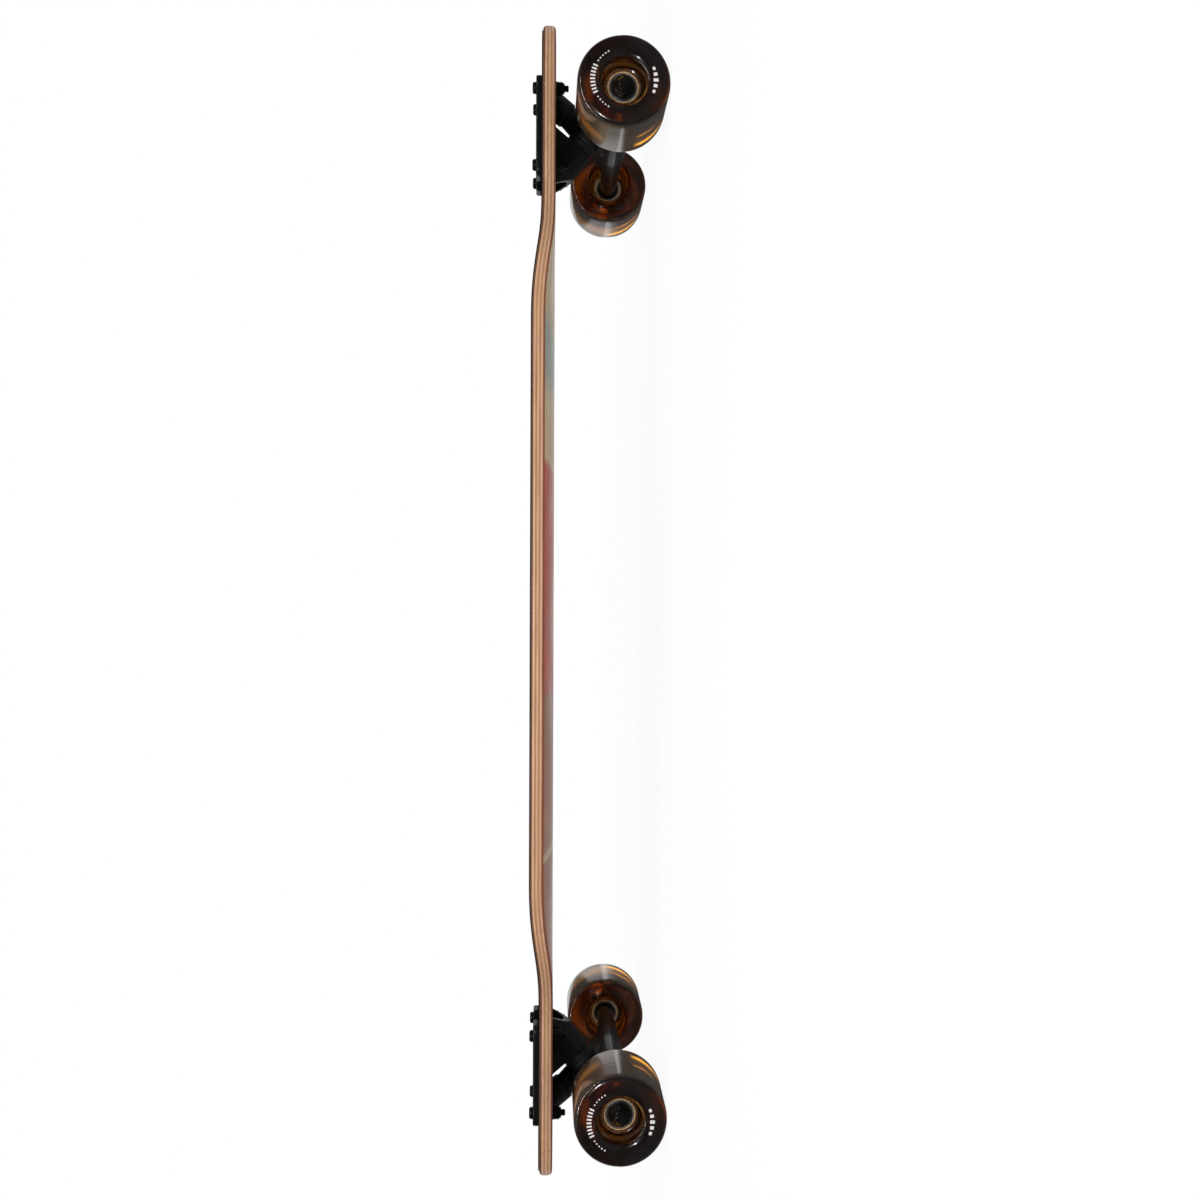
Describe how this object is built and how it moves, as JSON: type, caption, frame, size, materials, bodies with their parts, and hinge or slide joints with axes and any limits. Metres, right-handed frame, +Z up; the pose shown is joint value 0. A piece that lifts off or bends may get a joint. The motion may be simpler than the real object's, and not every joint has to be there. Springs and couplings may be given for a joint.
{
  "type": "longboard skateboard",
  "caption": "Drop-through longboard: concave maple deck with grip tape, black reverse-kingpin trucks that steer by leaning, and wide translucent brown wheels on ball bearings.",
  "frame": {"origin": "on the ground under the middle of the board", "axes": "+X along the board towards the front truck, +Y to the board's left, +Z up"},
  "size_m": [0.955, 0.258, 0.1029],
  "materials": {
    "maple": "satin",
    "grip": "matte",
    "casting": "satin",
    "pivot_cup": "matte",
    "black_steel": "satin",
    "bare_steel": "polished",
    "spacer": "satin",
    "bushing": "satin",
    "urethane": "satin",
    "core": "satin",
    "cage": "matte",
    "shield": "satin"
  },
  "bodies": {
    "board": {"deck": "maple", "grip_tape": "grip", "front_baseplate": "casting", "front_pivot_cup": "pivot_cup", "front_kingpin": "black_steel", "front_kingpin_nut": "black_steel", "front_boardside_bushing": "bushing", "front_roadside_bushing": "bushing", "front_boardside_washer": "black_steel", "front_roadside_washer": "black_steel", "front_mount_bolts": "black_steel", "front_mount_washers": "black_steel", "front_mount_nuts": "black_steel", "rear_baseplate": "casting", "rear_pivot_cup": "pivot_cup", "rear_kingpin": "black_steel", "rear_kingpin_nut": "black_steel", "rear_boardside_bushing": "bushing", "rear_roadside_bushing": "bushing", "rear_boardside_washer": "black_steel", "rear_roadside_washer": "black_steel", "rear_mount_bolts": "black_steel", "rear_mount_washers": "black_steel", "rear_mount_nuts": "black_steel"},
    "front_truck": {"front_hanger": "casting", "front_axle": "black_steel", "front_axle_nuts": "black_steel", "front_axle_washers": "bare_steel", "front_bearing_inner_races": "bare_steel", "front_bearing_spacers": "spacer"},
    "front_left_wheel": {"front_left_tyre": "urethane", "front_left_core": "core", "front_left_bearing_outer_races": "bare_steel", "front_left_bearing_balls": "bare_steel", "front_left_bearing_cages": "cage", "front_left_bearing_shields": "shield"},
    "front_right_wheel": {"front_right_tyre": "urethane", "front_right_core": "core", "front_right_bearing_outer_races": "bare_steel", "front_right_bearing_balls": "bare_steel", "front_right_bearing_cages": "cage", "front_right_bearing_shields": "shield"},
    "rear_truck": {"rear_hanger": "casting", "rear_axle": "black_steel", "rear_axle_nuts": "black_steel", "rear_axle_washers": "bare_steel", "rear_bearing_inner_races": "bare_steel", "rear_bearing_spacers": "spacer"},
    "rear_left_wheel": {"rear_left_tyre": "urethane", "rear_left_core": "core", "rear_left_bearing_outer_races": "bare_steel", "rear_left_bearing_balls": "bare_steel", "rear_left_bearing_cages": "cage", "rear_left_bearing_shields": "shield"},
    "rear_right_wheel": {"rear_right_tyre": "urethane", "rear_right_core": "core", "rear_right_bearing_outer_races": "bare_steel", "rear_right_bearing_balls": "bare_steel", "rear_right_bearing_cages": "cage", "rear_right_bearing_shields": "shield"}
  },
  "joints": [
    {"name": "front_steer", "type": "hinge", "parent": "board", "child": "front_truck", "pos_m": [0.39334, 0, 0.05501], "axis": [0.6428, 0, 0.766], "range_deg": [-20, 20], "stiffness_Nm_per_rad": 45, "deforming": ["front_boardside_bushing", "front_roadside_bushing"]},
    {"name": "front_left_spin", "type": "hinge", "parent": "front_truck", "child": "front_left_wheel", "pos_m": [0.382, 0.103, 0.0345], "axis": [0, 1, 0], "continuous": true},
    {"name": "front_right_spin", "type": "hinge", "parent": "front_truck", "child": "front_right_wheel", "pos_m": [0.382, -0.103, 0.0345], "axis": [0, 1, 0], "continuous": true},
    {"name": "rear_steer", "type": "hinge", "parent": "board", "child": "rear_truck", "pos_m": [-0.39334, 0, 0.05501], "axis": [-0.6428, 0, 0.766], "range_deg": [-20, 20], "stiffness_Nm_per_rad": 45, "deforming": ["rear_boardside_bushing", "rear_roadside_bushing"]},
    {"name": "rear_left_spin", "type": "hinge", "parent": "rear_truck", "child": "rear_left_wheel", "pos_m": [-0.382, 0.103, 0.0345], "axis": [0, 1, 0], "continuous": true},
    {"name": "rear_right_spin", "type": "hinge", "parent": "rear_truck", "child": "rear_right_wheel", "pos_m": [-0.382, -0.103, 0.0345], "axis": [0, 1, 0], "continuous": true}
  ]
}
